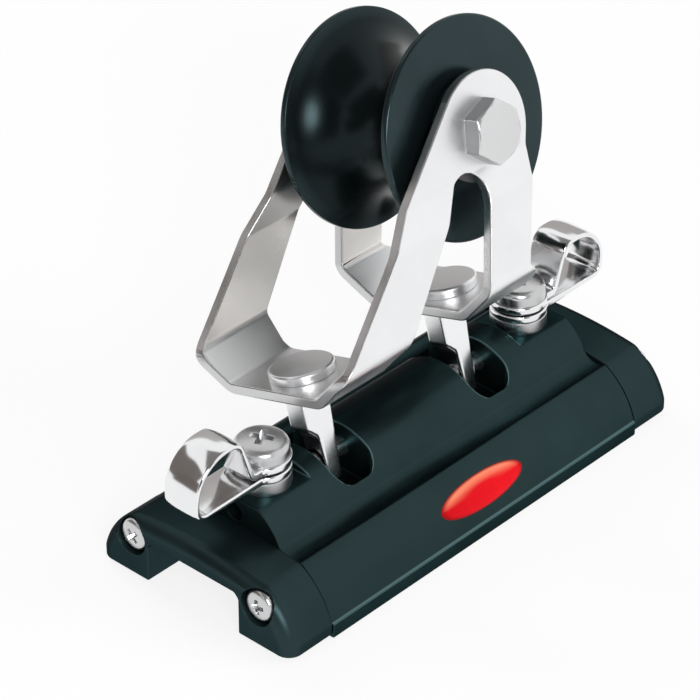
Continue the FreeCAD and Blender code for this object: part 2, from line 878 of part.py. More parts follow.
def hexagon(sketch, across):
    """A hexagon round the origin, its flats a given half width away, turned as the bolt is."""
    corner = across / cos(30)
    turns = [S.hex_turn + 60 * i for i in range(6)]
    draw(sketch, [(corner * cos(angle), corner * sin(angle)) for angle in turns])


def chamfer_hex(body, start, end):
    """Turn the corners off the outer end of a hexagon that lies along Y."""
    reach = S.hex_half / cos(30)
    bevel = new_sketch(body, "YZ")
    step = S.hex_chamfer if number(end) > number(start) else -S.hex_chamfer
    draw(bevel, [
        (end, S.hex_half - 0.2),
        (end + step, S.hex_half - 0.2),
        (end + step, reach + 1),
        (end - step, reach + 1),
        (end - step, reach + 0.3),
    ])
    groove(body, bevel, "H_Axis")


def make_axle_bolt():
    """The sheave's axle: a hexagon bolt, its head on the near plate."""
    body = new_body("axle_bolt")
    head = new_sketch(body, "XZ", cheek_outer)
    hexagon(head, S.hex_half)
    pad(body, head, S.bolt_head, symmetric=False)
    chamfer_hex(body, -cheek_outer, -cheek_outer - S.bolt_head)
    shank = new_sketch(body, "XZ", cheek_outer)
    circle(shank, 0, 0, S.bolt_radius)
    pad(body, shank, 2 * cheek_outer + S.nut_height + S.bolt_end, symmetric=False, backwards=True)
    on_the_axle(body)


def make_axle_nut():
    body = new_body("axle_nut")
    section = new_sketch(body, "XZ", -cheek_outer)
    hexagon(section, S.hex_half)
    pad(body, section, S.nut_height, symmetric=False, backwards=True)
    chamfer_hex(body, cheek_outer, cheek_outer + S.nut_height)
    bore = new_sketch(body, "XZ", -cheek_outer + 1)
    circle(bore, 0, 0, S.bolt_radius + S.rivet_fit)
    cut(body, bore, S.nut_height + 2, symmetric=False)
    on_the_axle(body)


def make_axle_rings():
    """What turns on the axle and keeps it in the middle: sleeve, bush and two thrust washers."""
    sleeve = make_ring("axle_sleeve", "XZ", S.bolt_radius + S.bolt_clearance, S.sleeve_radius,
                       2 * S.cheek_half - 0.1)
    on_the_axle(sleeve)
    bush = make_ring("sheave_bush", "XZ", S.sleeve_radius + S.running_clearance, S.bush_radius,
                     2 * S.hub_half)
    on_the_axle(bush)
    for name, side in (("near_thrust_washer", -1), ("far_thrust_washer", 1)):
        washer = make_ring(name, "XZ", S.sleeve_radius + S.running_clearance,
                           S.thrust_washer_radius, S.thrust_washer)
        on_the_axle(washer, side * (S.hub_half + S.thrust_gap + S.thrust_washer / 2))


ENDS = (("front", -1), ("rear", 1))
SIDES = (("near", -1), ("far", 1))

make_body()
make_pivot_rod()
for name, side in SIDES:
    make_ball_circuit(name + "_ball_circuit", side)
for name, side in ENDS:
    make_cap(name + "_end_cap", side)
    for hand_name, hand in SIDES:
        make_cap_screw(name + "_" + hand_name + "_cap_screw", side, hand)
    make_control_eye(name + "_control_eye", side)
    spacer = make_ring(name + "_eye_spacer", "XY", S.clip_radius + S.clip_hole_clearance,
                       S.strip_end_radius, S.clip_spacer)
    place(spacer, side * clip_x, 0, S.pad_height + S.clip_spacer / 2)
    make_clip_screw(name + "_clip_screw", side)
    make_lug(name + "_lug", side, S.front_lug_x if side < 0 else S.rear_lug_x)
    make_rivet(name + "_rivet", side)
make_cage()
make_sheave()
make_axle_rings()
make_axle_bolt()
make_axle_nut()

doc.recompute()
for item in doc.Objects:
    if "Invalid" in item.State or "Error" in item.State:
        raise RuntimeError(item.Name + " has failed")
for subpart in SUBPARTS:
    shape = subpart.Shape
    if shape.isNull() or not shape.isValid() or not shape.Solids:
        raise RuntimeError(subpart.Label + " is not a valid solid")

os.makedirs("parts", exist_ok=True)
for subpart in SUBPARTS:
    subpart.Shape.exportStep("parts/" + subpart.Label + ".step")
print("%d subparts written" % len(SUBPARTS))
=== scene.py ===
import json
import math

import bmesh
import bpy
from mathutils import Matrix, Vector
from mathutils.bvhtree import BVHTree


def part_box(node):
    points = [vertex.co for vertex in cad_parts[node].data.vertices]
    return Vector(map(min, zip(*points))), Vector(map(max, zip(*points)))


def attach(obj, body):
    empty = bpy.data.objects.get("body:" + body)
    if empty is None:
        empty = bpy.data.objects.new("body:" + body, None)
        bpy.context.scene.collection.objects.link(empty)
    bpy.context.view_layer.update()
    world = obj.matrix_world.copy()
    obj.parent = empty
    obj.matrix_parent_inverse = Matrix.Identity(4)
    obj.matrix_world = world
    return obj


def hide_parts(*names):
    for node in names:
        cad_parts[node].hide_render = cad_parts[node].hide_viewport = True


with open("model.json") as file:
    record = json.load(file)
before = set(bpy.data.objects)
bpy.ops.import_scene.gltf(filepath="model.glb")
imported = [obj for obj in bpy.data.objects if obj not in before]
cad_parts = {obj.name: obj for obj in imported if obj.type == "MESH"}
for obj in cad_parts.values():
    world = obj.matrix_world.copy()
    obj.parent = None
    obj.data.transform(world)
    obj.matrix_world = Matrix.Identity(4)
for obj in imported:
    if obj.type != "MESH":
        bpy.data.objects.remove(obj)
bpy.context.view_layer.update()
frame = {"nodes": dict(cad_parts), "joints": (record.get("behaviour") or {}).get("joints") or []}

bl_info = {
    "name": "Genoa car",
    "version": (1, 0, 0),
    "blender": (4, 5, 0),
    "location": "View3D > Sidebar > Genoa car",
    "description": "Finishes a genoa car and its leaning sheave cage, and sets the studio round it",
    "category": "Object",
}

MM = 0.001
NODES = frame["nodes"]

ENDS = (("front", -1), ("rear", 1))
# The corners of a square, in turn
SQUARE = ((-1, -1), (1, -1), (1, 1), (-1, 1))
SPIN = next(joint for joint in frame["joints"] if joint["name"] == "sheave_spin")
AXLE = Vector(SPIN["pos_m"])
AXLE_WAY = Vector(SPIN["axis"]).normalized()
# Stands a form drawn round Z on the axle, its top towards the far side
ON_AXLE = Matrix.Translation(AXLE) @ AXLE_WAY.to_track_quat("Z", "X").to_matrix().to_4x4()


# Sizes and colours a user would change

def length(name, description, default):
    return bpy.props.FloatProperty(
        name=name, description=description, default=default * MM, min=0.0, unit="LENGTH",
        precision=5)


def colour(name, description, default):
    return bpy.props.FloatVectorProperty(
        name=name, description=description, default=default, size=3, min=0.0, max=1.0,
        subtype="COLOR")


def share(name, description, default):
    return bpy.props.FloatProperty(
        name=name, description=description, default=default, min=0.0, max=1.0, subtype="FACTOR")


def angle(name, description, degrees):
    return bpy.props.FloatProperty(
        name=name, description=description, default=math.radians(degrees), subtype="ANGLE")


class CarFinish(bpy.types.PropertyGroup):
    anodised: colour("Anodised body", "Colour of the anodised extrusion", (0.025, 0.044, 0.046))
    moulded: colour("Moulded caps", "Colour of the moulded end caps", (0.026, 0.045, 0.048))
    badge_colour: colour("Badge", "Colour of the enamelled badge", (0.66, 0.006, 0.012))
    badge_long: length("Badge length", "Length of the badge along the shoulder", 26.8)
    badge_high: length("Badge height", "Height of the badge round the shoulder", 7.5)
    badge_thick: length("Badge thickness", "How far the badge's middle stands off the car", 0.75)
    badge_middle: length("Badge middle", "Place of the badge's middle along the car", 0.7)
    edge: length("Edge break", "Width of the softened edges of body and caps", 0.35)


class MetalFinish(bpy.types.PropertyGroup):
    steel: colour("Stainless", "Colour of the polished stainless steel", (0.855, 0.86, 0.868))
    gloss: share("Roughness", "Roughness of the polished steel", 0.13)
    sheet_edge: length("Sheet edge", "Width of the softened edges of the folded sheet", 0.42)
    strip_edge: length("Strip edge", "Width of the rounded edges of the eyes' strip", 0.4)
    strip_crown: length("Strip crown", "How much thinner each face of the strip is at its edges",
                        0.42)
    recess: length("Cross recess", "Width across the cross recess of a clip screw", 6.3)
    recess_small: length("Small recess", "Width across the cross recess of a cap screw", 4.2)
    pitch: length("Thread pitch", "Pitch of the axle bolt's thread", 1.25)


class SheaveFinish(bpy.types.PropertyGroup):
    black: colour("Sheave", "Colour of the sheave", (0.030, 0.048, 0.052))
    gloss: share("Roughness", "Roughness of the sheave's turned faces", 0.25)
    rim: length("Rim break", "Width of the softened edges of the flanges", 0.25)


class StudioSettings(bpy.types.PropertyGroup):
    azimuth: angle("Azimuth", "Way the camera looks from, round the car", -47.57)
    elevation: angle("Elevation", "Height of the camera above the horizon", 33.43)
    distance: length("Distance", "Distance of the camera from its target", 744.0)
    target: bpy.props.FloatVectorProperty(
        name="Target", description="Point that the camera looks at",
        default=(-0.01459, 0.0, 0.04257), size=3, subtype="TRANSLATION")
    lens: bpy.props.FloatProperty(
        name="Lens", description="Focal length on a 36 mm wide sensor",
        default=177.0, min=1.0, unit="CAMERA")
    floor: colour("Floor", "Colour of the floor", (0.86, 0.86, 0.86))


GROUPS = {"genoa_finish": CarFinish, "genoa_metal": MetalFinish,
          "genoa_sheave": SheaveFinish, "genoa_studio": StudioSettings}


# Forms

def new_piece(name, mesh):
    piece = bpy.data.objects.new(name, mesh)
    bpy.context.scene.collection.objects.link(piece)
    return piece


def discard(piece):
    mesh = piece.data
    bpy.data.objects.remove(piece)
    bpy.data.meshes.remove(mesh)


def into_mesh(form, name):
    mesh = bpy.data.meshes.new(name)
    form.to_mesh(mesh)
    form.free()
    for layer in ("custom_normal", "sharp_face", "sharp_edge"):
        if layer in mesh.attributes:
            mesh.attributes.remove(mesh.attributes[layer])
    return mesh


def bake(piece):
    """Puts a piece's modifiers into its mesh."""
    bpy.context.view_layer.update()
    graph = bpy.context.evaluated_depsgraph_get()
    mesh = bpy.data.meshes.new_from_object(piece.evaluated_get(graph), depsgraph=graph)
    piece.modifiers.clear()
    old, piece.data = piece.data, mesh
    bpy.data.meshes.remove(old)
    mesh.name = piece.name


# Points of a CAD mesh nearer than this are one, and faces within this angle are one flat face
SAME_POINT, FLAT = 0.002 * MM, math.radians(0.5)


def merged(node):
    """A closed, merged copy of a CAD node's mesh, its flat faces joined up."""
    form = bmesh.new()
    form.from_mesh(NODES[node].data)
    bmesh.ops.remove_doubles(form, verts=form.verts, dist=SAME_POINT)
    bmesh.ops.dissolve_limit(form, angle_limit=FLAT, verts=form.verts, edges=form.edges)
    return form


def skin_of(node):
    """The surface of a CAD node, to find places on."""
    form = merged(node)
    skin = BVHTree.FromBMesh(form)
    form.free()
    return skin


def middle(node):
    """The middle of a CAD node's box."""
    low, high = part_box(node)
    return (Vector(low) + Vector(high)) / 2


def shade(piece, angle):
    """Shades a piece smooth but for its edges sharper than an angle."""
    piece.data.shade_smooth()
    piece.data.set_sharp_from_angle(angle=math.radians(angle))
    weighted = piece.modifiers.new("Even shading", "WEIGHTED_NORMAL")
    weighted.keep_sharp = True
    weighted.weight = 80


def soften(piece, width, angle, segments):
    """Rounds the sharp edges of a piece and shades it smooth between them."""
    bevel = piece.modifiers.new("Edges", "BEVEL")
    bevel.width = width
    bevel.segments = segments
    bevel.limit_method = "ANGLE"
    bevel.angle_limit = math.radians(angle)
    bevel.use_clamp_overlap = False
    bevel.miter_outer = "MITER_ARC"
    bake(piece)
    shade(piece, 40.0)


def fit(piece, body, nodes=()):
    """Makes a piece ride on a body, and hides the CAD nodes that it stands for."""
    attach(piece, body)
    if nodes:
        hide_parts(*nodes)


def dressed(name, node, body, material, width, angle=28.0, segments=2):
    """A piece that stands for a CAD node: the node's own shape with softened edges."""
    piece = new_piece(name, into_mesh(merged(node), name))
    piece.data.materials.append(material)
    soften(piece, width, angle, segments)
    fit(piece, body, [node])
    return piece


def stitch(form, rings):
    """Joins neighbouring rings of points with faces, a ring of one point being a pole."""
    for low, high in zip(rings, rings[1:]):
        steps = max(len(low), len(high))
        for i in range(steps):
            j = (i + 1) % steps
            if len(high) == 1:
                form.faces.new((low[i], low[j], high[0]))
            elif len(low) == 1:
                form.faces.new((low[0], high[j], high[i]))
            else:
                form.faces.new((low[i], low[j], high[j], high[i]))


def ring_round(form, radii, height):
    """A ring of points round Z, one for each radius in turn."""
    turns = (math.tau * i / len(radii) for i in range(len(radii)))
    return [form.verts.new((radius * math.cos(turn), radius * math.sin(turn), height))
            for radius, turn in zip(radii, turns)]


# A ring with a smaller radius than this is a single point
POLE = 1e-7


def turned(name, profile, steps=64):
    """A closed form turned round Z from a profile of (radius, height), bottom to top."""
    form = bmesh.new()
    stitch(form, [ring_round(form, [radius] * (steps if radius > POLE else 1), height)
                  for radius, height in profile])
    return into_mesh(form, name)


# Finishes

def add_node(tree, kind, inputs=(), **settings):
    """Adds a node with its settings, each input linked to a socket or set to a value."""
    node = tree.nodes.new(kind)
    for key, value in settings.items():
        setattr(node, key, value)
    for key, value in dict(inputs).items():
        if isinstance(value, bpy.types.NodeSocket):
            tree.links.new(value, node.inputs[key])
        else:
            node.inputs[key].default_value = value
    return node


class Shader:
    """A material on one Principled BSDF, with its pattern nodes in Object coordinates.

    The values it starts with hold where no pattern drives them, and for what can't read patterns.
    """

    def __init__(self, name, values=()):
        self.material = bpy.data.materials.new(name)
        self.material.use_nodes = True
        self.tree = self.material.node_tree
        self.shader = next(n for n in self.tree.nodes if n.type == "BSDF_PRINCIPLED")
        for socket, value in dict(values).items():
            self.shader.inputs[socket].default_value = (
                (*value, 1.0) if isinstance(value, tuple) else value)
        self.place = self.add("ShaderNodeTexCoord").outputs["Object"]

    def add(self, kind, inputs=(), **settings):
        return add_node(self.tree, kind, inputs, **settings)

    def calculate(self, operation, *values):
        return self.add("ShaderNodeMath", dict(enumerate(values)), operation=operation).outputs[0]

    def stretched(self, scale=(1.0, 1.0, 1.0), turn=(0.0, 0.0, 0.0), shift=(0.0, 0.0, 0.0)):
        return self.add("ShaderNodeMapping", {"Vector": self.place, "Scale": scale,
                                              "Rotation": turn, "Location": shift}).outputs[0]

    def noise(self, scale, detail, vector=None):
        return self.add("ShaderNodeTexNoise", {"Vector": vector or self.place, "Scale": scale,
                                               "Detail": detail}).outputs["Fac"]

    def spread(self, factor, low, high, start=0.3, end=0.7):
        return self.add("ShaderNodeMapRange", {
            "Value": factor, "From Min": start, "From Max": end,
            "To Min": low, "To Max": high}).outputs["Result"]

    def ramp(self, factor, start, end):
        return self.spread(factor, 0.0, 1.0, start, end)

    def mixed(self, factor, low, high):
        """A colour between two, each a tone or another node's colour."""
        node = self.add("ShaderNodeMix", {"Factor": factor}, data_type="RGBA")
        for socket, tone in zip([s for s in node.inputs if s.type == "RGBA"], (low, high)):
            if isinstance(tone, bpy.types.NodeSocket):
                self.tree.links.new(tone, socket)
            else:
                socket.default_value = (*tone, 1.0)
        return next(s for s in node.outputs if s.type == "RGBA")

    def clouded(self, factor, dark, light):
        """A colour that wanders between two tones."""
        return self.mixed(self.spread(factor, 0.0, 1.0), dark, light)

    def drive(self, socket, output):
        self.tree.links.new(output, self.shader.inputs[socket])

    def tint(self, factor, dark, light):
        self.drive("Base Color", self.clouded(factor, dark, light))

    def roughness(self, factor, low, high):
        self.drive("Roughness", self.spread(factor, low, high))

    def bump(self, height, depth, strength, after=None):
        inputs = {"Height": height, "Distance": depth, "Strength": strength}
        if after is not None:
            inputs["Normal"] = after
        normal = self.add("ShaderNodeBump", inputs).outputs["Normal"]
        self.drive("Normal", normal)
        return normal

    def glow(self, tone):
        return self.add("ShaderNodeEmission", {"Color": (*tone, 1.0), "Strength": 1.0}).outputs[0]

    def surface(self, output):
        """Puts another shader than the Principled BSDF on the surface."""
        end = next(n for n in self.tree.nodes if n.type == "OUTPUT_MATERIAL")
        self.tree.links.new(output, end.inputs["Surface"])


def scaled(tone, by):
    return tuple(min(1.0, c * by) for c in tone)


# What a dull black skin gives back at a glancing view, where bare metal would shine
DULL_EDGE = (0.06, 0.08, 0.085)

# The lips' upper edges, from the car's middle and from its underside
LIP_OUT, LIP_HIGH = 27.6 * MM, 3.62 * MM
# The painted highlight line along them: half its width, and where it has faded out
LINE_HALF, LINE_FADED = 0.16 * MM, 0.3 * MM


def anodised_finish(tone):
    """Hard anodised extrusion: lines drawn along its length, uneven sheen, a painted highlight line
    along the lips.
    """
    s = Shader("black anodised aluminium", {
        "Base Color": tone, "Metallic": 0.9, "Specular IOR Level": 0.15,
        "Specular Tint": DULL_EDGE})
    lines = s.noise(900.0, 2.0, s.stretched((0.02, 1.0, 1.0)))
    cloud = s.noise(45.0, 3.0)
    place = s.add("ShaderNodeSeparateXYZ", {0: s.place}).outputs
    # Painted highlight: a pale line along the lips' upper edges
    outside = s.ramp(s.calculate("ABSOLUTE", place["Y"]), LIP_OUT, LIP_OUT + 0.2 * MM)
    off_edge = s.calculate("ABSOLUTE", s.calculate("SUBTRACT", place["Z"], LIP_HIGH))
    painted_highlight = s.calculate("MULTIPLY", outside, s.spread(off_edge, 1.0, 0.0, LINE_HALF, LINE_FADED))
    skin = s.clouded(cloud, scaled(tone, 0.85), scaled(tone, 1.15))
    s.drive("Base Color", s.mixed(painted_highlight, skin, scaled(tone, 3.6)))
    s.roughness(cloud, 0.27, 0.35)
    drawn = s.bump(lines, 0.02 * MM, 0.35)
    s.bump(s.noise(6000.0, 2.0), 0.006 * MM, 0.3, drawn)
    return s.material


def moulded_finish(tone):
    """Moulded end caps: fine even grain, a little duller than the extrusion."""
    s = Shader("black moulded plastic", {
        "Base Color": tone, "Metallic": 0.85, "Specular IOR Level": 0.15,
        "Specular Tint": DULL_EDGE})
    cloud = s.noise(60.0, 2.0)
    s.tint(cloud, scaled(tone, 0.9), scaled(tone, 1.12))
    s.roughness(cloud, 0.31, 0.41)
    s.bump(s.noise(3800.0, 3.0), 0.01 * MM, 0.4)
    return s.material


def polished_finish(tone, rough):
    """Electropolished stainless: near mirror, faint waves and handling marks."""
    s = Shader("polished stainless steel", {
        "Base Color": tone, "Metallic": 1.0, "Roughness": rough})
    cloud = s.noise(70.0, 3.0)
    s.tint(cloud, scaled(tone, 0.95), scaled(tone, 1.03))
    s.roughness(cloud, rough * 0.8, rough * 1.35)
    waves = s.bump(s.noise(90.0, 2.0), 0.12 * MM, 0.25)
    s.bump(s.noise(2600.0, 2.0), 0.005 * MM, 0.3, waves)
    return s.material


def drawn_finish(tone):
    """Drawn bar for rod and sleeve: lines finer than the eye, with a brushed look."""
    s = Shader("drawn stainless bar", {
        "Base Color": scaled(tone, 0.85), "Metallic": 1.0, "Roughness": 0.28})
    lines = s.noise(1500.0, 2.0, s.stretched((0.03, 1.0, 1.0)))
    s.roughness(lines, 0.22, 0.38)
    s.bump(lines, 0.01 * MM, 0.3)
    return s.material


# Along the axle from the sheave's middle: the end of the groove and the start of the flanges,
# between which the groove's painted shade fades out
GROOVE_END, FLANGE_START = 13.6 * MM, 15.4 * MM


def turned_finish(tone, rough):
    """Sheave turned and polished round its axle, with painted shade that makes the groove darker
    than the flanges.
    """
    s = Shader("polished black sheave", {
        "Base Color": tone, "Metallic": 0.85, "Specular IOR Level": 0.2})
    upright = ON_AXLE.inverted()
    flat = s.stretched(turn=upright.to_euler(), shift=upright.to_translation())
    rings = s.add("ShaderNodeTexWave", {
        "Vector": flat, "Scale": 420.0, "Distortion": 0.4, "Detail": 1.0},
        wave_type="RINGS", rings_direction="Z", wave_profile="SIN").outputs["Fac"]
    cloud = s.noise(50.0, 2.0)
    along = s.calculate("ABSOLUTE", s.add("ShaderNodeSeparateXYZ", {0: flat}).outputs["Z"])
    flange = s.clouded(cloud, scaled(tone, 0.85), scaled(tone, 1.2))
    # Painted shade: the groove gets a much darker tone than the flanges
    s.drive("Base Color", s.mixed(s.ramp(along, GROOVE_END, FLANGE_START),
                                  scaled(tone, 0.36), flange))
    s.roughness(cloud, rough * 0.85, rough * 1.25)
    s.bump(rings, 0.004 * MM, 0.25)
    return s.material


def bush_finish():
    """Grey bearing plastic with a fine grain."""
    s = Shader("grey bearing plastic", {"Roughness": 0.5})
    grain = s.noise(2200.0, 3.0)
    s.tint(s.noise(80.0, 2.0), (0.045, 0.046, 0.048), (0.07, 0.07, 0.072))
    s.roughness(grain, 0.42, 0.58)
    s.bump(grain, 0.01 * MM, 0.4)
    return s.material


def ball_finish():
    """Brown moulded balls, uneven in tone."""
    s = Shader("moulded bearing balls", {"Roughness": 0.4})
    s.tint(s.noise(300.0, 2.0), (0.24, 0.15, 0.06), (0.34, 0.22, 0.1))
    s.roughness(s.noise(700.0, 2.0), 0.32, 0.46)
    return s.material


# The colour of the painted highlight along the enamel's upper rim
ENAMEL_PAINTED_HIGHLIGHT = (0.83, 0.22, 0.125)


def enamel_finish(tone, across, up):
    """Red enamel with a painted highlight along its upper rim and painted shade towards its front
    end, dark at its very edge.

    across and up are the oval's half axes, each as (direction, offset), so that a point's two
    products are its place on an oval of radius 1.
    """
    s = Shader("red enamel", {"Specular IOR Level": 0.05})

    def product(direction, offset):
        dot = s.add("ShaderNodeVectorMath", {0: s.place, 1: direction}, operation="DOT_PRODUCT")
        return s.calculate("SUBTRACT", dot.outputs["Value"], offset)

    along, height = product(*across), product(*up)
    flat = s.add("ShaderNodeCombineXYZ", {0: along, 1: height}).outputs[0]
    reach = s.add("ShaderNodeVectorMath", {0: flat}, operation="LENGTH").outputs["Value"]
    # Painted highlight along the upper rim, and painted shade towards the front end
    painted_highlight_mask = s.calculate("MULTIPLY", s.ramp(height, 0.05, 0.55), s.ramp(reach, 0.35, 0.8))
    red = s.mixed(s.ramp(along, -1.0, 0.3), scaled(tone, 0.78), tone)
    red_and_painted_highlight = s.mixed(painted_highlight_mask, red, ENAMEL_PAINTED_HIGHLIGHT)
    s.drive("Base Color", s.mixed(s.ramp(reach, 0.88, 0.99), red_and_painted_highlight, scaled(tone, 0.42)))
    s.roughness(s.noise(160.0, 2.0), 0.24, 0.34)
    return s.material


# The steel finishes, each as its share of the panel's tone and how many times as rough it is
STEELS = {
    "bright": (1.0, 1.0), "satin": (1.07, 1.8), "sheet": (1.07, 2.6), "fastener": (0.72, 2.0),
    # The hexagons' sides are painted shade: a much darker copy of the faced steel
    "faced": (0.84, 1.6), "hexagon_painted_shade": (0.30, 1.6), "cut": (0.74, 2.1),
}
# Painted shade on the plates' inner faces: a darker, warmer tone than the rest, as rough as the
# sheet
INNER_PAINTED_SHADE_TONE = (0.70, 0.68, 0.655)

FINISHES = {}


def finish(name):
    """Each finish is made once, from the values in the panel."""
    if not FINISHES:
        scene = bpy.context.scene
        car, metal, wheel = scene.genoa_finish, scene.genoa_metal, scene.genoa_sheave
        for title, (tone, rough) in STEELS.items():
            FINISHES[title] = polished_finish(scaled(metal.steel, tone), metal.gloss * rough)
        # The plates' inner faces: a darker, warmer copy of the sheet, as painted shade
        FINISHES["inner"] = polished_finish(INNER_PAINTED_SHADE_TONE, metal.gloss * STEELS["sheet"][1])
        FINISHES["body"] = anodised_finish(tuple(car.anodised))
        # A paler copy of the anodised finish, as painted highlight on the slots' arrises
        FINISHES["painted_highlight"] = anodised_finish(scaled(car.anodised, 4.0))
        FINISHES["cap"] = moulded_finish(tuple(car.moulded))
        FINISHES["plain"] = drawn_finish(tuple(metal.steel))
        FINISHES["sheave"] = turned_finish(tuple(wheel.black), wheel.gloss)
        FINISHES["bush"] = bush_finish()
        FINISHES["balls"] = ball_finish()
    return FINISHES[name]


def coat(node, name):
    """Gives a CAD node that keeps its own shape its finish."""
    mesh = NODES[node].data
    mesh.materials.clear()
    mesh.materials.append(finish(name))


def refinish(piece, names, choose):
    """Adds finishes to a piece: choose gives each face's number, 0 for the finish it had."""
    for name in names:
        piece.data.materials.append(finish(name))
    for face in piece.data.polygons:
        face.material_index = choose(face)


# Fastener heads, placed by one Geometry Nodes tree

def cross_recess(width, depth, top):
    """The tool for a cross recess: four tapered wings, cut from the top down."""
    form = bmesh.new()
    half, wing = width / 2, width * 0.13
    for turn in (0, 90):
        spin = Matrix.Rotation(math.radians(turn), 3, "Z")
        low, high = (
            [form.verts.new(spin @ Vector((x * half * along, y * wing * across, z)))
             for x, y in SQUARE]
            for along, across, z in ((0.42, 0.6, top - depth), (1.0, 1.0, top)))
        form.faces.new(low[::-1])
        form.faces.new(high)
        stitch(form, (low, high))
    bmesh.ops.recalc_face_normals(form, faces=form.faces)
    return into_mesh(form, "recess tool")


# How far a pan head's side rounds over, in degrees, before its low crown starts
PAN_TURN = 78
SCREW_EDGE = 0.07 * MM


def recessed_screw(name, head, height, shank, reach, recess, depth):
    """A pan head screw that stands on Z = 0, its shank below, with a cross recess.

    head and shank are radii, height is the head's, and reach is how long the shank is.
    """
    edge, rise, skirt, count = height * 0.42, height * 0.13, 0.12 * MM, 8
    profile = [(0, -reach), (shank * 0.8, -reach), (shank, -reach + shank * 0.25), (shank, 0),
               (head - skirt, 0), (head, skirt)]
    for step in range(count + 1):
        turn = math.radians(PAN_TURN * step / count)
        profile.append((head - edge + edge * math.cos(turn),
                        height - rise - edge + edge * math.sin(turn)))
    out, up = profile[-1]
    for step in range(1, count + 1):
        left = 1 - step / count
        profile.append((out * left, up + (height - up) * (1 - left ** 2)))
    screw = new_piece(name, turned(name, profile, 48))
    tool = new_piece("tool", cross_recess(recess, depth, height + 0.3 * MM))
    cut = screw.modifiers.new("Recess", "BOOLEAN")
    cut.object = tool
    cut.operation = "DIFFERENCE"
    cut.solver = "EXACT"
    cut.use_self = True
    bake(screw)
    soften(screw, SCREW_EDGE, 35.0, 2)
    bake(screw)
    discard(tool)
    return screw


def placing_tree():
    """Stands a fastener on each point, its Z along the point's facing and turned by its turn."""
    tree = bpy.data.node_groups.new("Place fasteners", "GeometryNodeTree")
    for title, kind in (("Places", "NodeSocketGeometry"), ("Fastener", "NodeSocketObject"),
                        ("Scale", "NodeSocketFloat"), ("Finish", "NodeSocketMaterial")):
        tree.interface.new_socket(name=title, in_out="INPUT", socket_type=kind)
    tree.interface.new_socket(name="Geometry", in_out="OUTPUT", socket_type="NodeSocketGeometry")

    def attribute(title, kind):
        node = add_node(tree, "GeometryNodeInputNamedAttribute", {"Name": title}, data_type=kind)
        return next(s for s in node.outputs if s.enabled)

    given = add_node(tree, "NodeGroupInput").outputs
    upright = add_node(tree, "FunctionNodeAlignRotationToVector",
                       {"Vector": attribute("facing", "FLOAT_VECTOR")}, axis="Z")
    spin = add_node(tree, "FunctionNodeAxisAngleToRotation",
                    {"Axis": (0.0, 0.0, 1.0), "Angle": attribute("turn", "FLOAT")})
    both = add_node(tree, "FunctionNodeRotateRotation",
                    {"Rotation": upright.outputs["Rotation"],
                     "Rotate By": spin.outputs["Rotation"]}, rotation_space="LOCAL")
    source = add_node(tree, "GeometryNodeObjectInfo", {"Object": given["Fastener"]})
    stand = add_node(tree, "GeometryNodeInstanceOnPoints",
                     {"Points": given["Places"], "Instance": source.outputs["Geometry"],
                      "Rotation": both.outputs["Rotation"], "Scale": given["Scale"]})
    real = add_node(tree, "GeometryNodeRealizeInstances", {"Geometry": stand.outputs["Instances"]})
    paint = add_node(tree, "GeometryNodeSetMaterial",
                     {"Geometry": real.outputs["Geometry"], "Material": given["Finish"]})
    add_node(tree, "NodeGroupOutput", {"Geometry": paint.outputs["Geometry"]})
    return tree


def placed(name, fastener, spots, material):
    """One mesh with a copy of the fastener on each spot, a spot being (place, facing, turn)."""
    tree = bpy.data.node_groups.get("Place fasteners") or placing_tree()
    mesh = bpy.data.meshes.new(name)
    mesh.from_pydata([spot[0] for spot in spots], [], [])
    facing = mesh.attributes.new("facing", "FLOAT_VECTOR", "POINT")
    facing.data.foreach_set("vector", [c for spot in spots for c in spot[1]])
    turn = mesh.attributes.new("turn", "FLOAT", "POINT")
    turn.data.foreach_set("value", [spot[2] for spot in spots])
    piece = new_piece(name, mesh)
    place = piece.modifiers.new("Place", "NODES")
    place.node_group = tree
    values = {"Fastener": fastener, "Scale": 1.0, "Finish": material}
    for socket in tree.interface.items_tree:
        if socket.name in values:
            place[socket.identifier] = values[socket.name]
    bake(piece)
    for title in ("facing", "turn"):
        if title in piece.data.attributes:
            piece.data.attributes.remove(piece.data.attributes[title])
    discard(fastener)
    return piece


# Operators, one for each piece or group of like pieces, each after the forms that it alone uses

# Widths of the softened edges that the panel doesn't set
WASHER_EDGE, LUG_EDGE, RIVET_EDGE, HEXAGON_EDGE = 0.2 * MM, 0.8 * MM, 0.25 * MM, 0.22 * MM

# The slots' arrises, which get a painted highlight: small slanted faces this near to the car's
# middle and this high
SLOTS_REACH, SLOTS_LOW, ARRIS_AREA = 48 * MM, 13 * MM, 5 * MM * MM


class MakeBody(bpy.types.Operator):
    """Extruded body, with its broken edges and drawn finish"""
    bl_idname = "genoa_car.body"
    bl_label = "Body"
    bl_options = {"REGISTER", "UNDO"}

    def execute(self, context):
        body = dressed("body_extrusion", "car_body", "car", finish("body"),
                       context.scene.genoa_finish.edge)

        def choose(face):
            slanted = 0.25 < abs(face.normal.x) < 0.95 and face.area < ARRIS_AREA
            return int(slanted and abs(face.center.x) < SLOTS_REACH and face.center.z > SLOTS_LOW)

        # The slots' arrises get a painted highlight: a paler copy of the anodised finish
        refinish(body, ("painted_highlight",), choose)
        return {"FINISHED"}


class MakeCaps(bpy.types.Operator):
    """Moulded end caps"""
    bl_idname = "genoa_car.caps"
    bl_label = "End caps"
    bl_options = {"REGISTER", "UNDO"}

    def execute(self, context):
        for end, _ in ENDS:
            dressed(f"{end}_moulded_cap", f"{end}_end_cap", "car", finish("cap"),
                    context.scene.genoa_finish.edge, 32.0)
        return {"FINISHED"}


# Of the cap screws and of the clip screws: the head's height, shank's radius and recess's depth
CAP_HEAD, CAP_SHANK, CAP_RECESS = 2.6 * MM, 2.0 * MM, 1.9 * MM
CLIP_HEAD, CLIP_SHANK, CLIP_RECESS = 4.2 * MM, 3.0 * MM, 2.5 * MM


